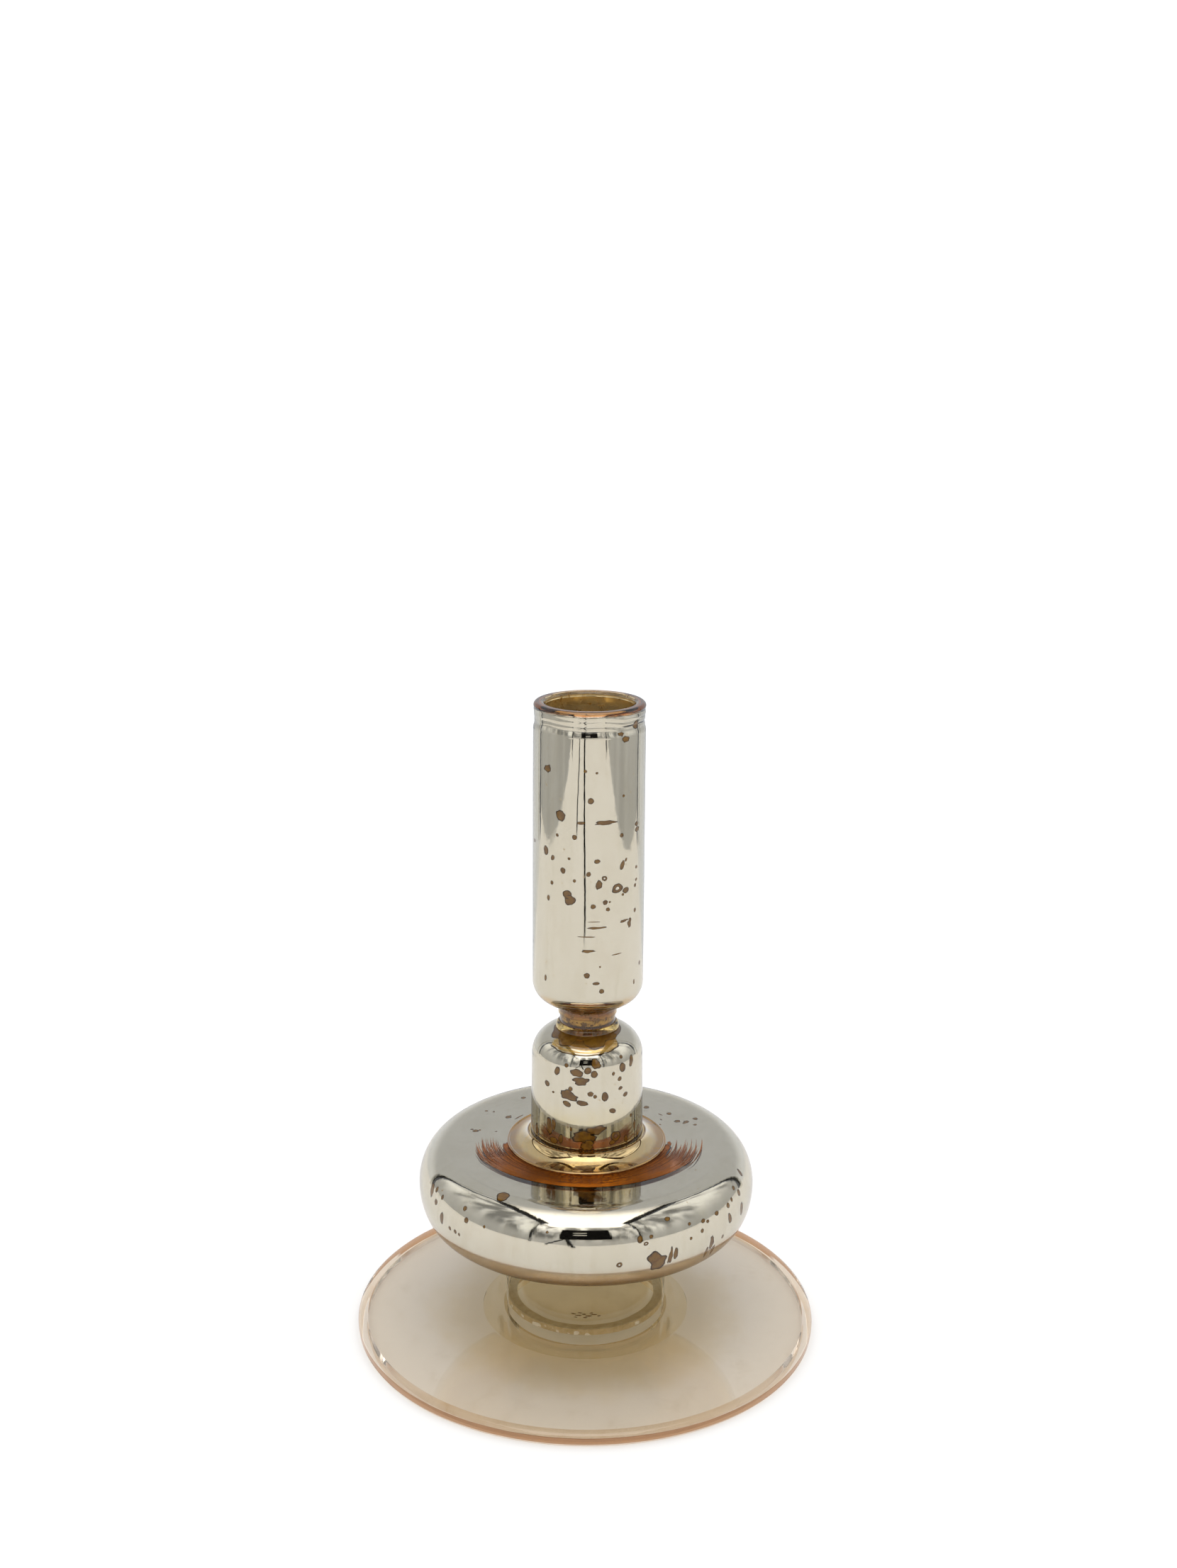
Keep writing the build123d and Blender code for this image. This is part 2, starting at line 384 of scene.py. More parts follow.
def make_blown_surface():
    """Hand-blown glass surface: slow swells and seeds for the bump, smears for the roughness."""
    defaults = {"Smear": 0.05, "Seed": 0.2}
    group, given, out = new_group("blown_surface", defaults, ["Roughness", "Height", "Smears"])
    slow = texture(group, 70, 1.0, 0.4)
    pits = ramp(group, texture(group, 1500, 2.0), 0.66, 0.8)
    pits = times(group, pits, given.outputs["Seed"])
    height = math_node(group, "SUBTRACT", slow, pits)
    smears = ramp(group, texture(group, 130, 6.0, 0.7, (1, 1, 0.45)), 0.52, 0.72)
    dust = ramp(group, texture(group, 2600, 2.0, 0.6), 0.6, 0.75, 0.0, 0.5)
    smears = math_node(group, "MAXIMUM", smears, dust)
    rough = times(group, smears, given.outputs["Smear"])
    group.links.new(rough, out.inputs["Roughness"])
    group.links.new(height, out.inputs["Height"])
    group.links.new(smears, out.inputs["Smears"])
    return group


def lining_flecks(group, wear):
    """Worn flecks: 0 where the lining is whole, 1 where it is gone."""
    grain = math_node(group, "SUBTRACT", texture(group, 620, 5.0, 0.65), 0.5)
    return ramp(group, plus(group, times(group, grain, 3.0), wear), 0.45, 0.75)


def make_lining_tone():
    """Silver lining: two tones in clouds and runs, with worn flecks where it thins."""
    defaults = {
        "Bright": (0.7, 0.66, 0.58, 1),
        "Dull": (0.6, 0.54, 0.42, 1),
        "Worn": (0.25, 0.14, 0.05, 1),
        "Wear": 0.0,
    }
    group, given, out = new_group("lining_tone", defaults, ["Color", "Roughness", "Height"])
    clouds = ramp(group, texture(group, 75, 4.0, 0.6, (1, 1, 0.5)), 0.35, 0.7)
    runs = ramp(group, texture(group, 420, 3.0, 0.6, (1, 1, 0.08)), 0.45, 0.75)
    flecks = lining_flecks(group, given.outputs["Wear"])
    dull = times(group, plus(group, clouds, runs), 0.5)
    colour = mix_colour(group, dull, given.outputs["Bright"], given.outputs["Dull"])
    colour = mix_colour(group, flecks, colour, given.outputs["Worn"])
    rough = plus(group, times(group, flecks, 0.3), times(group, runs, 0.03))
    height = plus(group, times(group, runs, 0.3), clouds)
    group.links.new(colour, out.inputs["Color"])
    group.links.new(plus(group, rough, 0.03), out.inputs["Roughness"])
    group.links.new(height, out.inputs["Height"])
    return group


blown_surface = make_blown_surface()
lining_tone = make_lining_tone()


def material(name):
    """New node material: its tree, shader and output node."""
    made = bpy.data.materials.new(name)
    made.use_nodes = True
    tree = made.node_tree
    return made, tree, tree.nodes["Principled BSDF"], tree.nodes["Material Output"]


def use_group(tree, group, **values):
    """Places a group in a material with its own values."""
    node = tree.nodes.new("ShaderNodeGroup")
    node.node_tree = group
    for label, value in values.items():
        node.inputs[label].default_value = (*value, 1) if isinstance(value, tuple) else value
    return node.outputs


def bump(tree, shader, height, depth):
    """Bump of a depth in metres on a shader."""
    node = tree.nodes.new("ShaderNodeBump")
    node.inputs["Strength"].default_value = 1.0
    node.inputs["Distance"].default_value = depth
    tree.links.new(height, node.inputs["Height"])
    tree.links.new(node.outputs["Normal"], shader.inputs["Normal"])


def pass_light(tree, shader, out, tint):
    """Lets lamplight through the glass, tinted, in place of its caustics."""
    clear = tree.nodes.new("ShaderNodeBsdfTransparent")
    clear.inputs["Color"].default_value = (*tint, 1)
    path = tree.nodes.new("ShaderNodeLightPath")
    mix = tree.nodes.new("ShaderNodeMixShader")
    tree.links.new(path.outputs["Is Shadow Ray"], mix.inputs["Fac"])
    tree.links.new(shader.outputs["BSDF"], mix.inputs[1])
    tree.links.new(clear.outputs["BSDF"], mix.inputs[2])
    tree.links.new(mix.outputs["Shader"], out.inputs["Surface"])


def radius_of(tree):
    """Distance from the axis, as a socket."""
    coords = tree.nodes.new("ShaderNodeTexCoord")
    flat = tree.nodes.new("ShaderNodeVectorMath")
    flat.operation = "MULTIPLY"
    flat.inputs[1].default_value = (1, 1, 0)
    length = tree.nodes.new("ShaderNodeVectorMath")
    length.operation = "LENGTH"
    tree.links.new(coords.outputs["Object"], flat.inputs[0])
    tree.links.new(flat.outputs[0], length.inputs[0])
    return length.outputs["Value"]


def along(tree, axis):
    """Distance along an axis, as a socket."""
    coords = tree.nodes.new("ShaderNodeTexCoord")
    split = tree.nodes.new("ShaderNodeSeparateXYZ")
    tree.links.new(coords.outputs["Object"], split.inputs["Vector"])
    return split.outputs[axis]


def height_of(tree):
    """Height above the table, as a socket."""
    return along(tree, "Z")


def bore_height(tree):
    """Height on the stem's bore; a large value on its outside."""
    outside = math_node(tree, "GREATER_THAN", radius_of(tree), stem_bore_r + 0.8 * MM)
    return plus(tree, height_of(tree), outside)


def lip_reach(tree):
    """Radius less the drop from the mouth twice over: large on the lip's outer top edge only."""
    drop = math_node(tree, "SUBTRACT", mouth, height_of(tree))
    return math_node(tree, "SUBTRACT", radius_of(tree), times(tree, drop, 2.0))


GLASS_BUMP = 0.02 * MM
EDGE_WIDE = 0.2               # the share of the facing over which a glass darkens to its edge
COAT_ROUGH = 0.02


def glass(
    name, body, smeared, edge, light, ior=1.5, coat=0.0, smear=0.04, blush=None,
    rim_from=0.74, seed=0.2, metal=0.0,
):
    """Tinted glass, darker where it is seen edge-on. blush is (measure, clear at, full at, colour)."""
    made, tree, shader, out = material(name)
    surface = use_group(tree, blown_surface, Smear=smear, Seed=seed)
    colour = mix_colour(tree, surface["Smears"], body, smeared)
    if blush:
        measure, clear_at, full_at, tint = blush
        cloud = times(tree, texture(tree, 160, 3.0), (full_at - clear_at) * 0.8)
        reached = plus(tree, measure(tree), cloud)
        colour = mix_colour(tree, ramp(tree, reached, clear_at, full_at), colour, tint)
    facing = tree.nodes.new("ShaderNodeLayerWeight")
    rim = ramp(tree, facing.outputs["Facing"], rim_from, rim_from + EDGE_WIDE)
    tree.links.new(mix_colour(tree, rim, colour, edge), shader.inputs["Base Color"])
    tree.links.new(surface["Roughness"], shader.inputs["Roughness"])
    shader.inputs["Transmission Weight"].default_value = 1.0
    shader.inputs["Metallic"].default_value = metal
    shader.inputs["IOR"].default_value = ior
    shader.inputs["Coat Weight"].default_value = coat
    shader.inputs["Coat Roughness"].default_value = COAT_ROUGH
    bump(tree, shader, surface["Height"], GLASS_BUMP)
    pass_light(tree, shader, out, light)
    return made


def lining(name, bright, dull, worn, wear, depth=0.01, metal=1.0, haze=0.0):
    """Silver lining behind glass; depth is its unevenness in millimetres."""
    made, tree, shader, _ = material(name)
    tone = use_group(tree, lining_tone, Bright=bright, Dull=dull, Worn=worn, Wear=wear)
    tree.links.new(tone["Color"], shader.inputs["Base Color"])
    tree.links.new(plus(tree, tone["Roughness"], haze), shader.inputs["Roughness"])
    shader.inputs["Metallic"].default_value = metal
    bump(tree, shader, tone["Height"], depth * MM)
    return made


def spot_material(name, heart, middle, edge, metal=0.0, rough=0.35, scale=700):
    """Sulphide-brown spot: clouded heart and a darker edge, from the mesh's edge values."""
    made, tree, shader, _ = material(name)
    cloud = ramp(tree, texture(tree, scale, 4.0, 0.6), 0.35, 0.65)
    colour = mix_colour(tree, cloud, heart, middle)
    reach = tree.nodes.new("ShaderNodeAttribute")
    reach.attribute_name = "edge"
    rim = ramp(tree, reach.outputs["Fac"], 0.72, 0.98)
    tree.links.new(mix_colour(tree, rim, colour, edge), shader.inputs["Base Color"])
    shader.inputs["Metallic"].default_value = metal
    shader.inputs["Specular IOR Level"].default_value = 0.1
    worn = plus(tree, times(tree, cloud, 0.12), rough)
    tree.links.new(worn, shader.inputs["Roughness"])
    bump(tree, shader, cloud, 0.02 * MM)
    return made


def cement_material():
    """Buff plaster cement."""
    made, tree, shader, _ = material("cement")
    lumps = texture(tree, 700, 6.0, 0.7)
    colour = mix_colour(tree, ramp(tree, lumps, 0.35, 0.7), (0.8, 0.71, 0.54), (0.66, 0.56, 0.4))
    tree.links.new(colour, shader.inputs["Base Color"])
    tree.links.new(ramp(tree, lumps, 0.3, 0.7, 0.6, 0.9), shader.inputs["Roughness"])
    bump(tree, shader, lumps, 0.2 * MM)
    return made


# The foot plate's blush darkens it to amber towards its middle. This is painted shade: the bulb's shadow
# seen through the plate.
clear_glass = glass(
    "clear_glass", (0.805, 0.74, 0.65), (0.75, 0.675, 0.57), (0.55, 0.32, 0.18), (0.97, 0.96, 0.93),
    ior=1.1, coat=1.0, seed=0.03, blush=(radius_of, 42 * MM, 22 * MM, (0.76, 0.65, 0.47)),
)
rim_glass = glass(
    "rim_glass", (0.86, 0.76, 0.64), (0.8, 0.66, 0.5), (0.3, 0.11, 0.035), (0.93, 0.88, 0.8),
    ior=1.05, coat=1.0, rim_from=0.62, seed=0.03,
    blush=(radius_of, foot_r - 0.07 * MM, foot_r - 0.02 * MM, (0.3, 0.11, 0.035)),
)
# The stem's blush turns its bore darker amber towards the bottom. This is painted shade under the bulb.
stem_glass = glass(
    "stem_glass", (0.97, 0.93, 0.83), (0.94, 0.88, 0.75), (0.9, 0.83, 0.7), (0.97, 0.96, 0.93),
    ior=1.02, coat=0.14,
    blush=(bore_height, 14 * MM, 7 * MM, (0.68, 0.55, 0.35)),
)
# The seal's amber body is painted shade under the bulb. Its blush clears the tint near the rim so that the
# cement shows through.
seal_glass = glass(
    "seal_glass", (0.84, 0.73, 0.52), (0.78, 0.66, 0.44), (0.7, 0.56, 0.34), (0.97, 0.95, 0.9),
    ior=1.03, coat=0.2,
    blush=(radius_of, seal_r - 4 * MM, seal_r - 2.8 * MM, (0.94, 0.9, 0.8)),
)
SILVER_GLASS = ((0.97, 0.965, 0.95), (0.93, 0.91, 0.88), (0.34, 0.19, 0.14), (0.95, 0.95, 0.94))
# The tube's blush turns it amber near its foot. This is partly amber glass and partly a painted reflection
# of the stained dome and neck below.
tube_glass = glass(
    "tube_glass", *SILVER_GLASS, blush=(height_of, 100.5 * MM, 98.2 * MM, (0.86, 0.58, 0.27))
)
drum_glass = glass(
    "drum_glass", *SILVER_GLASS, blush=(height_of, 68 * MM, 56 * MM, (0.98, 0.9, 0.66))
)
bulb_glass = glass(
    "bulb_glass", *SILVER_GLASS, blush=(height_of, 37.5 * MM, 33.5 * MM, (0.82, 0.6, 0.34))
)
amber_glass = glass(
    "amber_glass", (0.72, 0.51, 0.18), (0.6, 0.38, 0.12), (0.34, 0.19, 0.06), (0.9, 0.75, 0.5), smear=0.1
)
cup_glass = glass("cup_glass", (0.97, 0.9, 0.74), (0.92, 0.8, 0.56), (0.7, 0.42, 0.16), (0.95, 0.9, 0.8))
lip_glass = glass(
    "lip_glass", (0.96, 0.92, 0.84), (0.92, 0.84, 0.7), (0.42, 0.2, 0.09), (0.9, 0.7, 0.45),
    blush=(lip_reach, 12.9 * MM, 13.5 * MM, (0.44, 0.13, 0.022)),
)
gold_weld = glass(
    "gold_weld", (0.8, 0.58, 0.25), (0.66, 0.43, 0.15), (0.5, 0.28, 0.08), (0.95, 0.85, 0.6),
    ior=1.06, coat=1.0, metal=0.65, blush=(radius_of, 19.4 * MM, 21.2 * MM, (0.52, 0.29, 0.08)),
)
silver_lining = lining(
    "silver_lining", (0.55, 0.507, 0.418), (0.505, 0.46, 0.36), (0.4, 0.28, 0.13), 0.0
)
gold_lining = lining(
    "gold_lining", (0.44, 0.34, 0.15), (0.27, 0.18, 0.06), (0.13, 0.08, 0.02), 0.5,
    depth=0.05, metal=0.85, haze=0.04,
)
cup_lining = lining(
    "cup_lining", (0.97, 0.84, 0.56), (0.76, 0.56, 0.24), (0.36, 0.21, 0.05), 0.33,
    depth=0.06, metal=0.74, haze=0.07,
)
brown_spot = spot_material("brown_spot", (0.29, 0.14, 0.012), (0.2, 0.09, 0.008), (0.035, 0.014, 0.003))
amber_stain = spot_material(
    "amber_stain", (0.37, 0.108, 0.007), (0.25, 0.065, 0.004), (0.13, 0.032, 0.003),
    metal=0.95, rough=0.07, scale=150,
)
# The dome's golden skirt: its dark edge is the stain's outer ring, and its golden fill is a painted
# reflection of the candle tube's golden underside.
ochre_stain_and_painted_reflection = spot_material(
    "ochre_stain_and_painted_reflection", (0.55, 0.36, 0.11), (0.42, 0.25, 0.06), (0.26, 0.14, 0.03),
    metal=0.8, rough=0.12, scale=300,
)
cement = cement_material()


# ---- foot, stem and seal ----

def make_foot_plate():
    rim = plate_r - 2 * joint_gap
    under = plate_top - plate_thick
    outline = [
        (stem_bore_r, under), (flare_r, under), (rim, plate_low),
        (rim, plate_low + plate_thick), (flare_r, plate_top), (stem_bore_r, plate_top),
    ]
    turned("foot_plate", closed(outline), "clear_glass", clear_glass, FOOT_ROUND)


def make_foot_rim():
    crease = (plate_r, (foot_floor + rim_top) / 2)
    corners = [(plate_r, foot_floor), (foot_r, foot_floor), (foot_r, rim_top), (plate_r, rim_top)]
    radii = [rim_crease, rim_round, rim_round, rim_crease]
    outline = even(rounded([crease, *corners, crease], radii, 10), 0.8 * MM)[:-1]
    turned("foot_rim", outline, "clear_glass", rim_glass, FOOT_ROUND)


def make_stem():
    foot = stem_foot + joint_gap
    top = stem_top - joint_gap
    centre = (flare_r, plate_top + stem_flare)
    flare = quarter(centre, flare_r - stem_r, stem_flare - flare_land, 180, 270)
    outline = [(stem_bore_r, foot), (stem_bore_r, top), (stem_r, top), *flare, (flare_r, foot)]
    turned("stem", closed(outline), "clear_glass", stem_glass)


SEAL_CORNER = 0.3 * MM
LUMP_SIZE = 1.5 * MM
LUMP_HIGH = 0.1 * MM


def lumpy(point):
    """Where a point of the cement lies: its top, on the disc, is flat, and the rest is lumpy."""
    if point.z >= cement_top - MM / 2:
        return point
    return point + noise.noise_vector(point / LUMP_SIZE) * LUMP_HIGH


def make_seal():
    corners = [(0, seal_top), (seal_r, seal_top), (seal_r, seal_low), (0, seal_low)]
    rim = rounded(corners, [SEAL_CORNER, SEAL_CORNER], 6)
    turned("seal_disc", even(rim), "seal_glass", seal_glass)
    outer = cement_r - joint_gap
    top = cement_top - joint_gap
    ring = [(cement_r - cement_wide, top), (outer, top), (outer, cement_low)]
    ring.append((cement_r - cement_toe, cement_low))
    turned("seal_cement", closed(ring, 0.4 * MM), "cement", cement, FOOT_ROUND, lumpy)


# ---- the silvered vessels ----

def make_vessel(name, edge, film, finish):
    """A blown wall and the lining behind it."""
    turned(name, wall(edge, 0, vessel_wall), "vessel_glass", finish)
    inner = wall(edge, vessel_wall - film_bite, vessel_wall + film_thick)
    turned(film, inner, "silvering", silver_lining)


MARK_STEP = 0.12 * MM         # spacing of the points that carry the turning marks


def tube_line(depth, top):
    """Candle tube's outline with its top finely divided for the turning marks."""
    points = even(tube_edge(depth, top))
    upper = [p for p in points if p.y > ripple_foot - MM]
    rest = [p for p in points if p.y <= ripple_foot - MM]
    return even(upper + rest[:1], MARK_STEP)[:-1] + rest


def make_candle_tube():
    gap = lip_low - joint_gap
    outline = tube_line(0, gap) + tube_line(tube_wall, gap)[::-1]
    turned("candle_tube", outline, "vessel_glass", tube_glass)
    near = tube_line(tube_wall - film_bite, mouth - film_drop)
    far = tube_line(tube_wall + film_thick, mouth - film_drop)
    turned("tube_silvering", near + far[::-1], "silvering", silver_lining)


def make_candle_cup():
    """The cup and its lining, which closes over to the tube's lining inside the lip."""
    gap = lip_low - joint_gap
    outline = even(cup_edge(0, gap)) + even(cup_edge(cup_wall, gap))[::-1]
    turned("candle_cup", outline, "amber_glass", cup_glass)
    top = mouth - film_drop
    near = even(cup_edge(cup_wall - film_bite, top))
    far = even(cup_edge(cup_wall + film_thick, top - film_thick))
    bridge = [(tube_r - tube_wall, top - film_thick), (tube_r - tube_wall, top)]
    turned("cup_silvering", near + far[::-1] + bridge, "worn_silvering", cup_lining)


LIP_CORNER = 0.05 * MM        # the lip's inner corners, against the two walls


def make_mouth_lip():
    middle = ((bore_r + tube_r) / 2, lip_low)
    corners = [(bore_r, lip_low), (bore_r, mouth), (tube_r, mouth), (tube_r, lip_low)]
    radii = [LIP_CORNER, lip_round, lip_round, LIP_CORNER]
    outline = even(rounded([middle, *corners, middle], radii, 12), 0.4 * MM)[:-1]
    turned("mouth_lip", outline, "amber_glass", lip_glass)


def pipe(inner, outer, low, high):
    """Closed outline of a straight pipe."""
    return closed([(inner, low), (outer, low), (outer, high), (inner, high)], MM)


def make_neck():
    glass_line = pipe(neck_bore_r, neck_r, neck_low + joint_gap, neck_top - joint_gap)
    turned("neck", glass_line, "amber_glass", amber_glass)
    film_line = pipe(lining_r - film_thick, lining_r + film_bite, lining_low, lining_top)
    turned("neck_silvering", film_line, "worn_silvering", gold_lining)


BEAD = 0.45 * MM              # rounded ridge along the base ring's edge
WELD_STEP = 0.7 * MM


def make_base_ring():
    """Hollow-faced weld in the corner over the bulb, with a rounded ridge along its edge."""
    inner = drum_r + joint_gap
    foot = base_ring_low + joint_gap
    wide = base_ring_r - inner - ring_land
    high = base_ring_top - foot - ring_land
    ridge = base_ring_r - BEAD
    line = [(inner, base_ring_top), (inner, foot), (ridge, foot)]
    line += quarter((ridge, foot + BEAD / 2), BEAD, BEAD, -20, 165, 14)
    line += quarter((base_ring_r, base_ring_top), wide, high, 262, 180)
    turned("base_ring", closed(line, WELD_STEP), "amber_glass", gold_weld)


def make_neck_ring():
    """Hollow-faced weld in the corner under the candle tube."""
    inner = neck_r + joint_gap
    top = neck_ring_top - joint_gap
    wide = neck_ring_r - inner - ring_land
    high = top - neck_ring_low - ring_land
    line = [(neck_ring_r, top), (inner, top), (inner, neck_ring_low)]
    line += quarter((neck_ring_r, neck_ring_low), wide, high, 180, 90)
    turned("neck_ring", closed(line, WELD_STEP), "amber_glass", amber_glass)


def make_dome_ring():
    """Half-round weld on the dome."""
    inner = neck_r + joint_gap
    foot = dome_ring_low + joint_gap
    line = [(inner, foot)]
    line += quarter((inner, foot), dome_ring_r - inner, dome_ring_top - foot, 0, 90)
    turned("dome_ring", closed(line, WELD_STEP), "amber_glass", amber_glass)


# ---- brown spots and stains ----

class Skin:
    """A surface on which spots are laid. Its points have a bearing and a run along the outline."""

    def __init__(self, line):
        self.line = even(line, 0.4 * MM)
        self.run = [0.0]
        for a, b in zip(self.line, self.line[1:]):
            self.run.append(self.run[-1] + (b - a).length)

    def at(self, run):
        """Point of the outline at a distance along it."""
        run = min(max(run, 0.0), self.run[-1])
        for i in range(1, len(self.run)):
            if self.run[i] >= run:
                part = (run - self.run[i - 1]) / (self.run[i] - self.run[i - 1])
                return self.line[i - 1].lerp(self.line[i], part)
        return self.line[-1]

    def find(self, height=None, radius=None):
        """Distance along the outline to the first point at a height or a radius."""
        for i in range(1, len(self.line)):
            a, b = self.line[i - 1], self.line[i]
            low, high, value = (a.y, b.y, height) if radius is None else (a.x, b.x, radius)
            if min(low, high) - 1e-9 <= value <= max(low, high) + 1e-9 and abs(high - low) > 1e-9:
                return self.run[i - 1] + (value - low) / (high - low) * (self.run[i] - self.run[i - 1])
        return self.run[-1]

    def point(self, bearing, run):
        """Place in space at a bearing in radians (0 to the front, turning to the right)."""
        radius, height = self.at(run)
        return blown(Vector((radius * math.sin(bearing), -radius * math.cos(bearing), height)))


def raised(edge, depth, lift=spot_lift):
    """Outline just above a lining's outer face."""
    return Skin(edge(depth - film_bite - lift))


def thin_patch(name, verts, faces, edges, side, finish):
    """A thin closed patch; edges holds each point's way from the patch's heart (0) to its edge (1)."""
    mesh = bpy.data.meshes.new(name)
    mesh.from_pydata(verts, [], faces)
    mesh.attributes.new("edge", "FLOAT", "POINT").data.foreach_set("value", edges)
    mesh.shade_smooth()
    piece = new_object(name, mesh)
    thick = piece.modifiers.new("thickness", "SOLIDIFY")
    thick.thickness = spot_thick
    thick.offset = side
    place(piece, "silvering", finish)


def between(inner, outer):
    """Faces between two rings of point numbers; a ring of one point is a middle."""
    count = len(outer)
    for i in range(count):
        j = (i + 1) % count
        if len(inner) == 1:
            yield inner[0], outer[i], outer[j]
        else:
            yield inner[i], outer[i], outer[j], inner[j]


def sheet(name, skin, ring_sets, finish):
    """Patches on a skin. Each is a list of rings of (bearing, run, edge value), from its middle out."""
    verts, faces, edges = [], [], []
    for rings in ring_sets:
        rows = []
        for ring in rings:
            rows.append(range(len(verts), len(verts) + len(ring)))
            verts += [skin.point(bearing, run) for bearing, run, _ in ring]
            edges += [value for _, _, value in ring]
        for inner, outer in zip(rows, rows[1:]):
            faces += between(inner, outer)
    thin_patch(name, verts, faces, edges, -1, finish)


SPOT_SPREAD = 1.12            # spots bleed a little past their nominal size
SPOT_HOLE = 0.34              # the open middle of a ring-shaped spot, as a share of it
SPOT_WAVES = (2, 3, 5, 8)     # waves round a spot's uneven edge
SPOT_POINTS = 9               # points round a spot for each millimetre of its width and tallness
SPOT_RING = 1.4 * MM          # widest gap between two rings of a spot


def spot(skin, bearing, run, wide, high, hole=0.0, wild=1.0, tilt=0.0):
    """Rings of one irregular spot; hole is its open middle and tilt its lean in radians."""
    count = max(14, min(56, int((wide + high) / MM * SPOT_POINTS)))
    lobes = []
    for wave in SPOT_WAVES:
        size = random.uniform(0.2, 0.6) * wild / (wave + 2.5)
        lobes.append((wave, size, random.uniform(0, 6.28)))
    wide, high = wide * SPOT_SPREAD, high * SPOT_SPREAD
    steps = max(2, math.ceil(max(wide, high) / SPOT_RING))
    radius = max(skin.at(run).x, 4 * MM)
    rings = []
    for level in [hole + (1 - hole) * i / steps for i in range(steps + 1)]:
        value = max(level, 1 - (level - hole) * 3 if hole else 0)
        ring = []
        for i in range(count):
            angle = 2 * math.pi * i / count
            reach = 1 + sum(size * math.cos(wave * angle + phase) for wave, size, phase in lobes)
            across = math.cos(angle) * wide / 2 * reach * level
            rise = math.sin(angle) * high / 2 * reach * level
            x = across * math.cos(tilt) - rise * math.sin(tilt)
            y = across * math.sin(tilt) + rise * math.cos(tilt)
            ring.append((bearing + x / radius, run - y, value))
        rings.append(ring if level > 0 else ring[:1])
    return rings


def spots(skin, marks):
    """Rings of listed marks: bearing in degrees, height, width and tallness in millimetres, and kind."""
    made = []
    for bearing, height, wide, high, *kind in marks:
        run = skin.find(height=height * MM)
        hole = SPOT_HOLE if "ring" in kind else 0.0
        wild = 0.7 if max(wide, high) > 2.4 else 0.35
        if "wild" in kind:
            wild = 1.5
        lean = 0.4 if max(wide, high) < 2 * min(wide, high) else 0.08
        tilt = random.uniform(-lean, lean)
        made.append(spot(skin, math.radians(bearing), run, wide * MM, high * MM, hole, wild, tilt))
    return made


def scatter(skin, number, low, high, first, last, small=0.5, large=2.6):
    """Rings of random marks between two heights in millimetres and two bearings in degrees."""
    made = []
    for _ in range(number):
        run = skin.find(height=random.uniform(low, high) * MM)
        bearing = math.radians(random.uniform(first, last))
        wide = small + (large - small) * random.random() ** 2.6
        high_part = wide * random.uniform(0.7, 1.5)
        hole = SPOT_HOLE if wide > 1.4 and random.random() < 0.25 else 0.0
        wild = random.choice((0.35, 0.5, 0.7, 1.3))
        tilt = random.uniform(-0.5, 0.5)
        made.append(spot(skin, bearing, run, wide * MM, high_part * MM, hole, wild, tilt))
    return made


# Marks that the front of each vessel shows: bearing, height, width, tallness, kind
TUBE_MARKS = [
    (-49, 165.5, 2, 2, "wild"), (-31, 153.5, 2.4, 2.7), (-4, 166, 0.8, 0.8), (8, 165.5, 0.6, 0.6),
    (2, 158, 1.4, 1.5), (-15, 148, 1.2, 1.2), (-8, 152, 1.9, 0.8), (18, 152, 5, 1.1, "wild"),
    (37, 148, 1, 1.1), (61, 148.5, 1.6, 1.3), (60, 150, 1.4, 1.1), (58, 177, 2.3, 2),
    (35, 175.3, 1.5, 1.1, "wild"), (41, 173.8, 1.9, 1.5, "wild"), (39, 158.7, 0.7, 0.7),
    (-35, 148, 0.8, 0.8), (-51, 143, 1.6, 2.3), (-41, 141.5, 1, 1.4), (-21, 142, 0.7, 0.7),
    (-28, 138.5, 1.3, 1.5), (-42, 134.5, 0.9, 1), (-15, 136, 0.8, 0.8), (-47, 130, 0.9, 1.4),
    (-23, 132, 2.2, 2.2), (-20, 130.5, 2.6, 2.6), (9, 141.5, 1.4, 1.1), (0, 138, 1.1, 1.2),
    (17, 136.7, 1.3, 1.3, "ring"), (11, 135, 1.5, 2.3, "wild"), (32, 133.5, 2.7, 2.5, "ring"),
    (43, 132.5, 1.9, 1.5), (39, 131.5, 0.7, 0.7), (5, 129, 1.2, 1.2), (18, 130, 1.2, 1.2),
    (23, 130, 0.5, 0.5), (21, 128, 1, 1), (41, 124, 2.2, 0.7, "wild"), (49, 123, 1.2, 2.4, "wild"),
    (9, 123, 4.2, 0.6, "wild"), (-1.5, 120.5, 3.9, 0.3), (0, 116.5, 3.3, 0.7, "wild"),
    (6, 124.7, 2.8, 0.2), (32, 115, 2.6, 0.3), (13, 112, 0.5, 0.5), (-1, 109.6, 1.4, 1.4),
    (9, 107.3, 1.7, 0.8), (15, 105, 1.2, 1.2), (-51, 107, 0.8, 1.6), (58, 105.5, 0.6, 1.2),
    (70, 110, 0.8, 1.2), (38, 139.7, 1.2, 2.3), (43, 141, 0.6, 1), (60, 138, 0.9, 0.8),
    (60, 134.5, 0.8, 0.8), (58, 133, 0.9, 0.9), (58, 126, 0.9, 1.1),
]
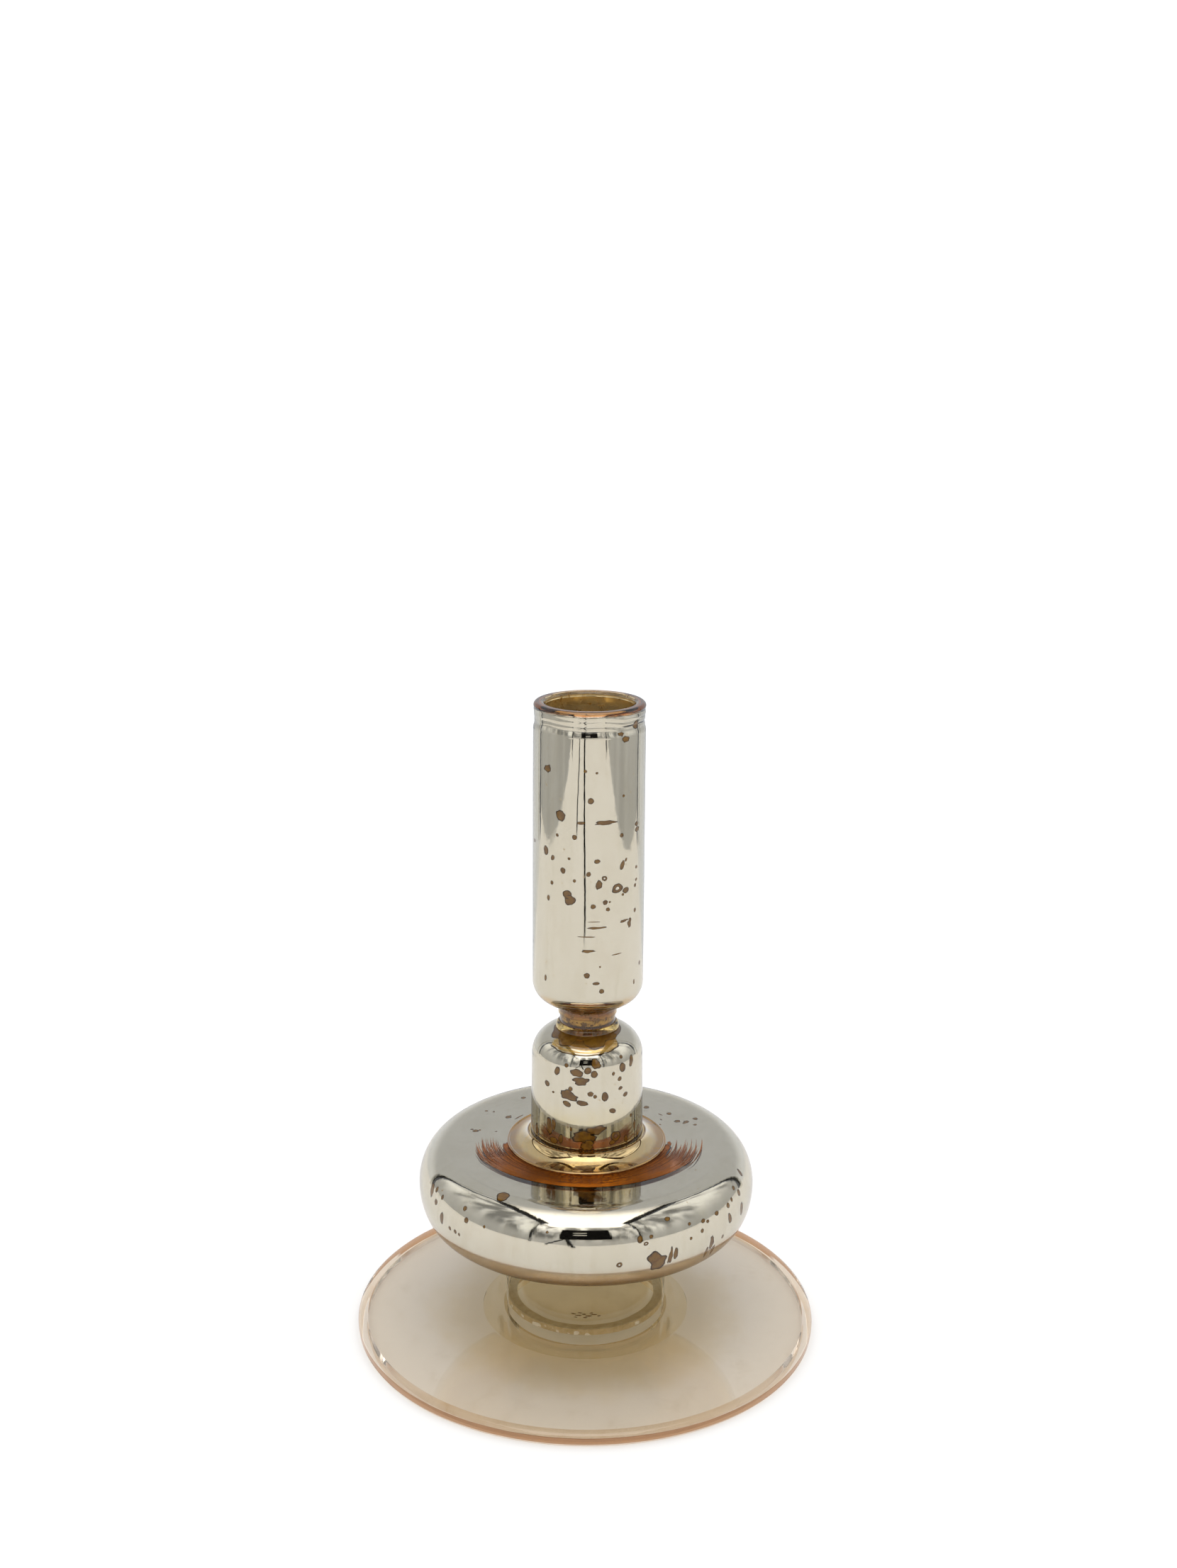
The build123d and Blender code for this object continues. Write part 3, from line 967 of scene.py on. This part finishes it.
DRUM_MARKS = [
    (-34, 81, 1.4, 2.3), (-23, 83, 1, 1), (-11, 81.3, 3, 2), (-6.5, 79, 3.8, 2.1, "wild"),
    (1, 82, 1.8, 1.6), (8, 81, 1.7, 1.8), (10, 83.7, 2.6, 2, "wild"), (42, 81.6, 1.8, 2.3),
    (56, 82.4, 1.4, 2.6), (42, 84.3, 0.9, 0.9), (30, 80.5, 0.8, 1), (38, 78.6, 1.1, 1.2),
    (39, 75.8, 1.2, 0.9), (46, 73.5, 1.4, 1.2), (-18, 76.5, 1.1, 1.2), (-20, 74.5, 4.6, 2.4, "wild"),
    (-22, 72, 2.2, 1.4), (-5, 72.6, 2.7, 1.4), (4, 75.3, 1.4, 1.3), (9, 74.5, 0.9, 1),
    (20, 74.2, 1.7, 2.4), (29, 69.7, 1.9, 1.2), (-48, 76.4, 1.6, 1.5), (-39, 74.5, 0.7, 0.6),
    (-44, 64, 1.9, 4.6, "wild"), (-38, 65, 1.1, 3.6), (-29, 61.3, 1.2, 2.5), (-38, 60.3, 2.4, 1.8),
    (-3, 62.6, 6, 3, "wild"), (1, 60.2, 3.4, 2.6, "wild"), (10, 64.6, 4.6, 2.4, "wild"),
    (33, 62, 2.9, 2.6, "ring"), (47, 60.2, 1.3, 2), (29, 60.4, 1.8, 1.2), (-17, 64.7, 0.6, 1.2),
    (-33, 57.5, 1.3, 1), (62, 63, 1.2, 2.6), (70, 60.5, 1.6, 3, "wild"), (-66, 61, 1.6, 2.8, "wild"),
    (55, 66.5, 0.8, 1),
]
BULB_MARKS = [
    (-34, 53.4, 3.3, 2.8), (-44, 46.9, 1.4, 1.3), (-46, 49.3, 1.2, 1.2), (-62, 46.3, 1.4, 1.4),
    (-57, 43.6, 1.5, 3), (-52, 42.4, 1, 1), (-49, 42.4, 1.1, 1), (-47, 42.2, 0.8, 0.8),
    (-59, 48.5, 1, 1.2), (-64, 48.9, 1.1, 1.4), (-67, 47.9, 1.8, 3), (29, 50.5, 1.5, 1),
    (37, 48, 0.9, 0.8), (43, 47.4, 1.3, 1), (45, 46.8, 1, 0.8), (42, 45.1, 1, 1), (37, 44.3, 0.8, 0.8),
    (50, 47.5, 1.4, 1.1), (47, 40.4, 1.4, 3.6, "wild"), (48.5, 37.6, 1.2, 2.8), (45, 38, 1, 3),
    (53, 40.2, 0.9, 1), (57, 44.1, 1.5, 2.6), (66, 43.7, 1.8, 3), (66, 48, 1.4, 1.6),
    (74, 50.6, 1.2, 2), (57, 47.5, 1.3, 1.3), (64, 49.8, 1.2, 1.1), (60, 48.1, 1, 1),
    (18, 47.3, 1.3, 1.8), (22, 47.5, 1, 0.9), (20, 46, 1.2, 0.9, "ring"), (11, 41.1, 1.5, 1.3, "ring"),
    (24, 40.6, 4.8, 4.6, "wild"), (29, 41, 1.2, 3.8, "wild"), (31, 41.4, 1.2, 3), (-13, 49.3, 0.7, 0.6),
    (4, 53.4, 0.6, 0.5), (-36, 47.2, 0.7, 0.7),
]
# Marks on the bulb's top: bearing, radius, width, tallness
BULB_TOP_MARKS = [
    (-128, 25, 3, 0.5), (-125, 27.5, 2, 0.4), (-130, 22.8, 1.6, 0.5), (-100, 19.5, 1.2, 1.4),
    (-97, 21, 0.9, 0.8), (118, 24, 0.6, 0.5), (124, 26, 0.9, 0.4), (130, 28, 1.6, 0.4), (100, 20, 1, 1.4),
    (94, 20.5, 1.2, 1.6), (-86, 20.5, 1.4, 1.2), (-78, 20, 1, 1), (86, 21, 1, 1.6), (80, 20, 1.2, 1.4),
    (-70, 19.4, 1.2, 1), (72, 19, 1, 1),
]


def top_marks(skin, marks, wild):
    """Rings of marks listed by bearing, radius, width and tallness."""
    made = []
    for bearing, radius, wide, high in marks:
        run = skin.find(radius=radius * MM)
        made.append(spot(skin, math.radians(bearing), run, wide * MM, high * MM, 0.0, wild))
    return made


def make_spots():
    tube = raised(tube_edge, tube_wall)
    rings = spots(tube, TUBE_MARKS)
    rings += scatter(tube, 16, 104, 176, 76, 140)
    rings += scatter(tube, 20, 104, 176, 140, 284)
    rings += scatter(tube, 14, 120, 150, 90, 270)
    sheet("tube_spots", tube, rings, brown_spot)
    drum = raised(drum_edge, vessel_wall)
    rings = spots(drum, DRUM_MARKS)
    rings += scatter(drum, 40, 57, 84, 78, 284, 0.6, 3.4)
    sheet("drum_spots", drum, rings, brown_spot)
    bulb = raised(bulb_edge, vessel_wall)
    rings = spots(bulb, BULB_MARKS)
    rings += scatter(bulb, 60, 36, 52, 80, 288, 0.6, 3.2)
    rings += top_marks(bulb, BULB_TOP_MARKS, 1.2)
    for _ in range(26):
        radius = random.uniform(19, 36)
        size = random.uniform(0.5, 1.8)
        bearing = random.uniform(100, 260)
        rings += top_marks(bulb, [(bearing, radius, size, size)], 1.0)
    sheet("bulb_spots", bulb, rings, brown_spot)


STAIN_WIDE = 9.4 * MM         # the crescent's width at its ends
STAIN_FRONT = 0.7             # the share of that width in front
STAIN_FULL = 1.15             # bearing in radians at which it is as wide as that
STAIN_STRANDS = 30
STAIN_END = 72                # degrees from the front to where the crescent frays
STAIN_HAIRS = 30              # loose hairs at each end
HAIR_WIDE = 0.22 * MM
FRAY = 0.78                   # past this share of its width the crescent is in separate strands


def strand(skin, radius, wide, first, last, taper, steps):
    """One streak that follows the bulb's top between two bearings, pointed at both ends."""
    near, far = [], []
    tone = random.random()
    for i in range(steps + 1):
        bearing = first + (last - first) * i / steps
        left = min((bearing - first), (last - bearing)) / taper
        thin = min(1.0, max(0.02, left)) ** 0.7
        widening = STAIN_FRONT + (1 - STAIN_FRONT) * min(1.0, (bearing / STAIN_FULL) ** 2)
        drawn = base_ring_r + (radius - base_ring_r) * widening
        middle = skin.find(radius=drawn + (1 - thin) * wide * 0.5)
        near.append((bearing, middle - wide / 2 * thin, tone))
        far.append((bearing, middle + wide / 2 * thin, tone))
    return near, far


def ribbon_sheet(name, skin, ribbons, finish):
    """Ribbons on a skin, each between two rows of (bearing, run, edge value)."""
    verts, faces, edges = [], [], []
    for near, far in ribbons:
        first = len(verts)
        for a, b in zip(near, far):
            verts += [skin.point(a[0], a[1]), skin.point(b[0], b[1])]
            edges += [a[2], b[2]]
        for k in range(first, len(verts) - 2, 2):
            faces.append((k, k + 1, k + 3, k + 2))
    thin_patch(name, verts, faces, edges, 1, finish)


def crescent_strands(skin):
    """The crescent's body, from the base ring out."""
    step = STAIN_WIDE / STAIN_STRANDS
    made = []
    for i in range(STAIN_STRANDS):
        part = (i + 0.5) / STAIN_STRANDS
        end = STAIN_END + 7 * math.sin(math.pi * part)
        left = math.radians(-end - random.uniform(-9, 5))
        right = math.radians(end + random.uniform(-9, 5))
        wide = step * (1.02 if part < FRAY else random.uniform(0.35, 0.8))
        radius = base_ring_r + STAIN_WIDE * part
        made.append(strand(skin, radius, wide, left, right, math.radians(15), 150))
    return made


def crescent_hairs(skin):
    """Loose hairs at the crescent's two ends."""
    made = []
    for side in (-1, 1):
        for _ in range(STAIN_HAIRS):
            radius = random.uniform(base_ring_r + 2 * MM, base_ring_r + STAIN_WIDE + 0.8 * MM)
            start = math.radians(side * random.uniform(52, 68))
            stop = math.radians(side * random.uniform(76, 92))
            first, last = min(start, stop), max(start, stop)
            made.append(strand(skin, radius, HAIR_WIDE, first, last, math.radians(9), 40))
    return made


# Blots beside the crescent's ends: bearing, radius, width, tallness
STAIN_BLOTS = [(-72, 22.6, 9, 2.4), (-64, 22.6, 7, 2), (66, 22.8, 8, 2), (75, 23, 6, 1.6), (84, 23.4, 3, 1)]


def make_crescent():
    """Amber stain on the bulb's top: a wide crescent that breaks into hairs at its ends."""
    skin = Skin(bulb_edge(-spot_lift))
    ribbons = crescent_strands(skin) + crescent_hairs(skin)
    ribbon_sheet("bulb_stain", skin, ribbons, amber_stain)
    sheet("bulb_stain_ends", skin, top_marks(skin, STAIN_BLOTS, 1.0), amber_stain)


# Small wrinkles on the seal's front: bearing, radius, width, tallness
SEAL_MARKS = [
    (-11, 17.3, 1.3, 0.35), (-6, 18, 1.5, 0.35), (-1, 17.3, 1.1, 0.3), (3, 18.2, 1.7, 0.4),
    (8, 17.6, 1.4, 0.35), (0, 19, 1.1, 0.3), (-5, 16.6, 1, 0.3), (6, 16.7, 0.9, 0.3), (12, 18.4, 0.8, 0.3),
    (-8, 19, 0.7, 0.25),
]


def make_seal_mark():
    """Small wrinkled stain on the front of the seal."""
    height = seal_top + spot_thick
    skin = Skin([(0, height), (seal_r, height)])
    sheet("seal_mark", skin, top_marks(skin, SEAL_MARKS, 1.4), brown_spot)


# How far each stain runs down the dome from the neck: bearing in degrees, millimetres
STAIN_REACH = [
    (-180, 2.2), (-120, 2.6), (-82, 3), (-62, 4.6), (-50, 4), (-38, 5.6), (-26, 5.2), (-17, 2.2), (-8, 2.2),
    (-2, 4.6), (10, 5.8), (22, 5.2), (32, 3.4), (46, 3.8), (62, 3.2), (84, 3), (120, 2.6), (180, 2.2),
]
SKIRT_REACH = [
    (-180, 0.4), (-66, 0.4), (-52, 6.6), (-30, 7.2), (0, 7.4), (24, 7), (44, 6.2), (58, 0.4), (180, 0.4),
]
STAIN_START = 0.1             # millimetres of the dome left clear at the neck


def reach_at(table, degree):
    """A table's reach at a bearing, smooth between its rows."""
    for (a, low), (b, high) in zip(table, table[1:]):
        if degree <= b:
            return low + (high - low) * fade(a, b, degree)


def lobed(table, levels=8, around=180):
    """Rings of one stain that runs down all round the dome."""
    rings = []
    for level in range(levels + 1):
        part = level / levels
        ring = []
        for i in range(around):
            degree = -180 + 360 * i / around
            run = STAIN_START + (reach_at(table, degree) - STAIN_START) * part
            ring.append((math.radians(degree), run * MM, part ** 4))
        rings.append(ring)
    return rings


def make_dome_stain():
    """Brown stain that ran down from the neck over the dome, and the paler golden skirt under its front.
    The skirt is partly the stain's outer ring and partly a painted reflection of the tube's golden
    underside.
    """
    sheet("dome_stain", raised(drum_edge, vessel_wall), [lobed(STAIN_REACH)], brown_spot)
    lower = raised(drum_edge, vessel_wall, spot_lift / 2)
    sheet("dome_skirt", lower, [lobed(SKIRT_REACH)], ochre_stain_and_painted_reflection)


# ---- the room: a white light tent seen only in reflections ----

def staged(name, verts, faces, finish):
    mesh = bpy.data.meshes.new(name)
    mesh.from_pydata(verts, [], faces)
    mesh.materials.append(finish)
    piece = new_object(name, mesh)
    return piece


def mirrored(name, verts, faces, finish):
    """A piece of the room that is seen in reflections only."""
    piece = staged(name, verts, faces, finish)
    piece.visible_camera = False
    piece.visible_diffuse = False
    piece.visible_shadow = False


def upright(name, a, b, low, high, finish):
    """Upright sheet between two plan points."""
    verts = [(*a, low), (*b, low), (*b, high), (*a, high)]
    mirrored(name, verts, [(0, 1, 2, 3)], finish)


def rod(name, a, b, radius, finish):
    """Straight eight-sided rod."""
    a, b = Vector(a), Vector(b)
    turn = (b - a).to_track_quat("Z", "Y")
    verts = []
    for end in (a, b):
        for i in range(8):
            angle = math.pi * i / 4
            verts.append(end + turn @ Vector((radius * math.cos(angle), radius * math.sin(angle), 0)))
    faces = [(i, (i + 1) % 8, 8 + (i + 1) % 8, 8 + i) for i in range(8)]
    mirrored(name, verts, faces, finish)


def glow(name, colour, strength):
    """Material that shines; strength is a number, or a function of the node tree that gives a socket."""
    made = bpy.data.materials.new(name)
    made.use_nodes = True
    tree = made.node_tree
    tree.nodes.clear()
    shader = tree.nodes.new("ShaderNodeEmission")
    shader.inputs["Color"].default_value = (*colour, 1)
    out = tree.nodes.new("ShaderNodeOutputMaterial")
    tree.links.new(shader.outputs["Emission"], out.inputs["Surface"])
    if callable(strength):
        tree.links.new(strength(tree), shader.inputs["Strength"])
    else:
        shader.inputs["Strength"].default_value = strength
    return made


def draped(low, high, height, foot=0.0):
    """Strength of cloth lit from above: brighter towards the top, with soft upright folds."""
    def strength(tree):
        rise = ramp(tree, height_of(tree), foot, height, low, high)
        folds = ramp(tree, texture(tree, 8, 2.0, 0.5, (1, 1, 0.3)), 0.36, 0.64, -0.66, 0.4)
        depth = ramp(tree, height_of(tree), 0.08, 0.3, 0.15, 1.0)
        return times(tree, rise, plus(tree, times(tree, folds, depth), 1.0))
    return strength


def graded(axis, near, far, low, high):
    """Strength of even cloth that changes along one axis."""
    return lambda tree: ramp(tree, along(tree, axis), near, far, low, high)


TENT_X = 0.43                 # half the tent's width
TENT_BACK = 0.28
TENT_FRONT = -0.60
TENT_TOP = 0.86
CURTAIN_X = 0.7               # half the width of the curtain before the tent
CURTAIN_Y = -0.85
PIPE_R = 0.015                # dark piping on the tent's front edges
BACK_PIPE_R = 0.023
TOP_PIPE_R = 0.075
WALL_FOOT = 0.018             # gap under the side walls
BOARD_X = 0.15                # half the width of the dark board
BOARD_Y = -0.5


def make_tent():
    cloth = glow("tent_cloth", (0.95, 0.98, 1.0), draped(0.68, 1.08, 0.4))
    sweep = glow("tent_sweep", (0.9, 0.94, 0.985), graded("Z", 0.05, 0.17, 1.1, 0.77))
    curtain = glow("tent_curtain", (0.96, 0.98, 1.0), draped(0.78, 1.6, 0.86, 0.35))
    ceiling = glow("tent_ceiling", (1, 1, 1), graded("Y", -0.2, 0.3, 2.6, 0.95))
    dark = glow("tent_piping", (1, 1, 1), 0.03)
    for side in (-1, 1):
        x = side * TENT_X
        upright(f"tent_side_{side}", (x, TENT_FRONT), (x, TENT_BACK), WALL_FOOT, TENT_TOP, cloth)
        rod(f"pipe_front_{side}", (x, TENT_FRONT, 0), (x, TENT_FRONT, TENT_TOP), PIPE_R, dark)
        rod(f"pipe_back_{side}", (x, TENT_BACK, 0), (x, TENT_BACK, TENT_TOP), BACK_PIPE_R, dark)
        rod(f"pipe_top_{side}", (x, TENT_FRONT, TENT_TOP), (x, TENT_BACK, TENT_TOP), TOP_PIPE_R, dark)
    upright("tent_back", (-TENT_X, TENT_BACK), (TENT_X, TENT_BACK), 0, TENT_TOP, sweep)
    upright("tent_curtain", (-CURTAIN_X, CURTAIN_Y), (CURTAIN_X, CURTAIN_Y), 0, TENT_TOP, curtain)
    corners = [(-TENT_X, CURTAIN_Y), (TENT_X, CURTAIN_Y), (TENT_X, TENT_BACK), (-TENT_X, TENT_BACK)]
    mirrored("tent_top", [(x, y, TENT_TOP) for x, y in corners], [(0, 1, 2, 3)], ceiling)


def make_board():
    """A dark board on a stand with two pale bars, before the object."""
    black = glow("black", (1, 1, 1), 0.008)
    pale = glow("pale_bar", (1, 1, 0.97), 0.8)
    upright("dark_board", (-BOARD_X, BOARD_Y), (BOARD_X, BOARD_Y), 0.14, 0.40, black)
    near = BOARD_Y + 0.002
    for low in (0.235, 0.29):
        upright(f"pale_bar_{low}", (-0.07, near), (0.01, near), low, low + 0.022, pale)
    apex = (-0.11, BOARD_Y, 0.16)
    rod("stand_leg_1", apex, (-0.045, -0.36, 0.0), 0.011, black)
    rod("stand_leg_2", apex, (-0.215, -0.46, 0.0), 0.007, black)


FLOOR_HALF = 3.0


def make_floor():
    made, _, shader, _ = material("pale_floor")
    shader.inputs["Base Color"].default_value = (0.9, 0.9, 0.895, 1)
    shader.inputs["Roughness"].default_value = 1.0
    shader.inputs["Specular IOR Level"].default_value = 0.0
    shader.inputs["Emission Color"].default_value = (1, 1, 1, 1)
    shader.inputs["Emission Strength"].default_value = 0.12
    corners = [(-1, -1), (1, -1), (1, 1), (-1, 1)]
    verts = [(x * FLOOR_HALF, y * FLOOR_HALF, 0) for x, y in corners]
    staged("floor", verts, [(0, 1, 2, 3)], made)


def make_world():
    world = bpy.data.worlds.new("studio")
    bpy.context.scene.world = world
    world.use_nodes = True
    sky = world.node_tree.nodes["Background"]
    sky.inputs["Color"].default_value = (1, 1, 1, 1)
    sky.inputs["Strength"].default_value = 1.22


CAMERA_AT = (-0.0002, -0.4845, 0.28755)
CAMERA_TILT = 75.12           # degrees up from straight down
CAMERA_TURN = 0.44            # degrees to the left
LENS = 42.93                  # millimetres, on a 36 mm sensor


def make_camera():
    data = bpy.data.cameras.new("camera")
    data.lens = LENS
    data.sensor_width = 36
    data.clip_start = 0.01
    data.clip_end = 20
    camera = new_object("camera", data)
    camera.location = CAMERA_AT
    camera.rotation_mode = "ZYX"
    camera.rotation_euler = (math.radians(CAMERA_TILT), 0, math.radians(CAMERA_TURN))
    bpy.context.scene.camera = camera
    bpy.context.scene.view_settings.view_transform = "Standard"


make_camera()
make_world()
make_floor()
make_tent()
make_board()
make_foot_plate()
make_foot_rim()
make_stem()
make_seal()
make_vessel("bulb", bulb_edge, "bulb_silvering", bulb_glass)
make_vessel("drum", drum_edge, "drum_silvering", drum_glass)
make_neck()
make_base_ring()
make_neck_ring()
make_dome_ring()
make_candle_tube()
make_candle_cup()
make_mouth_lip()
make_spots()
make_crescent()
make_dome_stain()
make_seal_mark()
